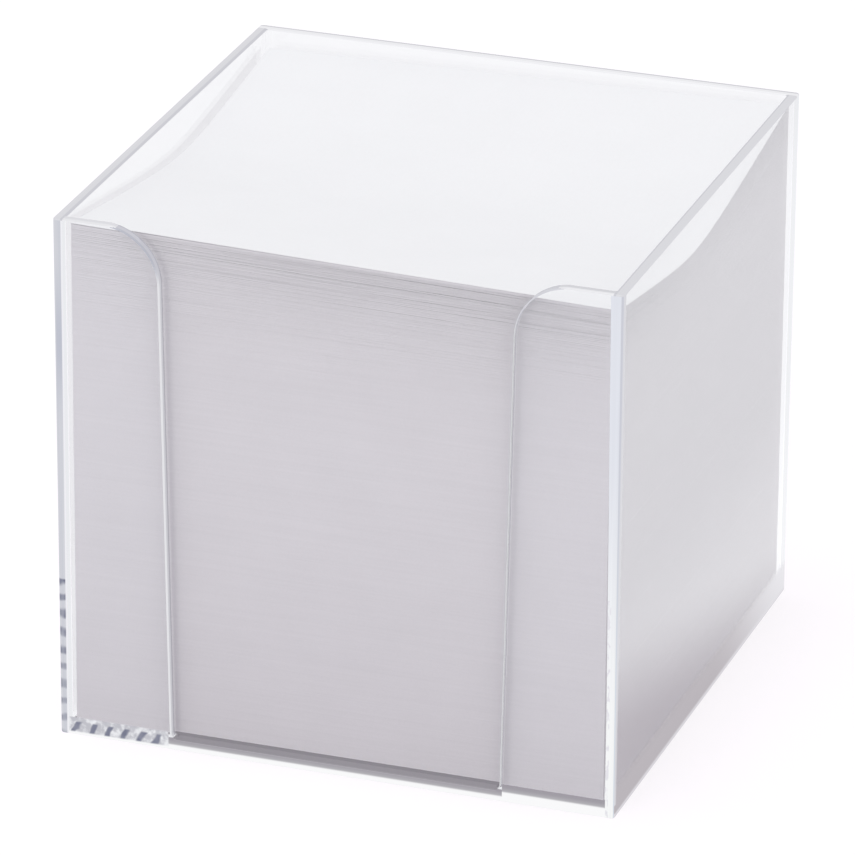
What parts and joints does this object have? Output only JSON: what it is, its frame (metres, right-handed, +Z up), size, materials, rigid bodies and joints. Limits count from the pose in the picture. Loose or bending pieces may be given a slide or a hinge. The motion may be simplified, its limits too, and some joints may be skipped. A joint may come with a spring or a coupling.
{
  "type": "memo box",
  "caption": "Clear open-topped square box with a full-height finger gap between two round-shouldered front flanges, filled with loose white square note sheets that lift out.",
  "frame": {"origin": "middle of the base, on the surface that the box stands on", "axes": "+Z up, out of the open top; -Y out of the front, where the finger gap is; +X to the right seen from the front"},
  "size_m": [0.095, 0.095, 0.09],
  "materials": {
    "clear_polystyrene": "polished, glass-clear",
    "note_paper": "uncoated, matte"
  },
  "bodies": {
    "box": {"box_shell": "clear_polystyrene"},
    "lower_wad": {"sheet_packet_01": "note_paper", "sheet_packet_02": "note_paper", "sheet_packet_03": "note_paper", "sheet_packet_04": "note_paper", "sheet_packet_05": "note_paper", "sheet_packet_06": "note_paper", "sheet_packet_07": "note_paper", "sheet_packet_08": "note_paper", "sheet_packet_09": "note_paper", "sheet_packet_10": "note_paper", "sheet_packet_11": "note_paper", "sheet_packet_12": "note_paper", "sheet_packet_13": "note_paper", "sheet_packet_14": "note_paper", "sheet_packet_15": "note_paper", "sheet_packet_16": "note_paper", "sheet_packet_17": "note_paper", "sheet_packet_18": "note_paper", "sheet_packet_19": "note_paper", "sheet_packet_20": "note_paper", "sheet_packet_21": "note_paper", "sheet_packet_22": "note_paper", "sheet_packet_23": "note_paper", "sheet_packet_24": "note_paper"},
    "upper_wad": {"sheet_packet_25": "note_paper", "sheet_packet_26": "note_paper", "sheet_packet_27": "note_paper", "sheet_packet_28": "note_paper", "sheet_packet_29": "note_paper", "sheet_packet_30": "note_paper", "sheet_packet_31": "note_paper", "sheet_packet_32": "note_paper", "sheet_packet_33": "note_paper", "sheet_packet_34": "note_paper", "sheet_packet_35": "note_paper", "sheet_packet_36": "note_paper", "sheet_packet_37": "note_paper", "sheet_packet_38": "note_paper", "sheet_packet_39": "note_paper", "sheet_packet_40": "note_paper"},
    "top_wad": {"sheet_packet_41": "note_paper", "sheet_packet_42": "note_paper", "sheet_packet_43": "note_paper", "sheet_packet_44": "note_paper", "sheet_packet_45": "note_paper", "sheet_packet_46": "note_paper"},
    "loose_sheet_1": {"loose_sheet_1": "note_paper"},
    "loose_sheet_2": {"loose_sheet_2": "note_paper"},
    "top_sheet": {"top_sheet": "note_paper"}
  },
  "joints": [
    {"name": "lower_wad_lift", "type": "slide", "parent": "box", "child": "lower_wad", "axis": [0, 0, 1], "range_m": [0, 0.095]},
    {"name": "upper_wad_lift", "type": "slide", "parent": "lower_wad", "child": "upper_wad", "axis": [0, 0, 1], "range_m": [0, 0.055]},
    {"name": "top_wad_lift", "type": "slide", "parent": "upper_wad", "child": "top_wad", "axis": [0, 0, 1], "range_m": [0, 0.03]},
    {"name": "loose_sheet_1_lift", "type": "slide", "parent": "top_wad", "child": "loose_sheet_1", "axis": [0, 0, 1], "range_m": [0, 0.02]},
    {"name": "loose_sheet_2_lift", "type": "slide", "parent": "loose_sheet_1", "child": "loose_sheet_2", "axis": [0, 0, 1], "range_m": [0, 0.02]},
    {"name": "top_sheet_lift", "type": "slide", "parent": "loose_sheet_2", "child": "top_sheet", "axis": [0, 0, 1], "range_m": [0, 0.04]}
  ]
}
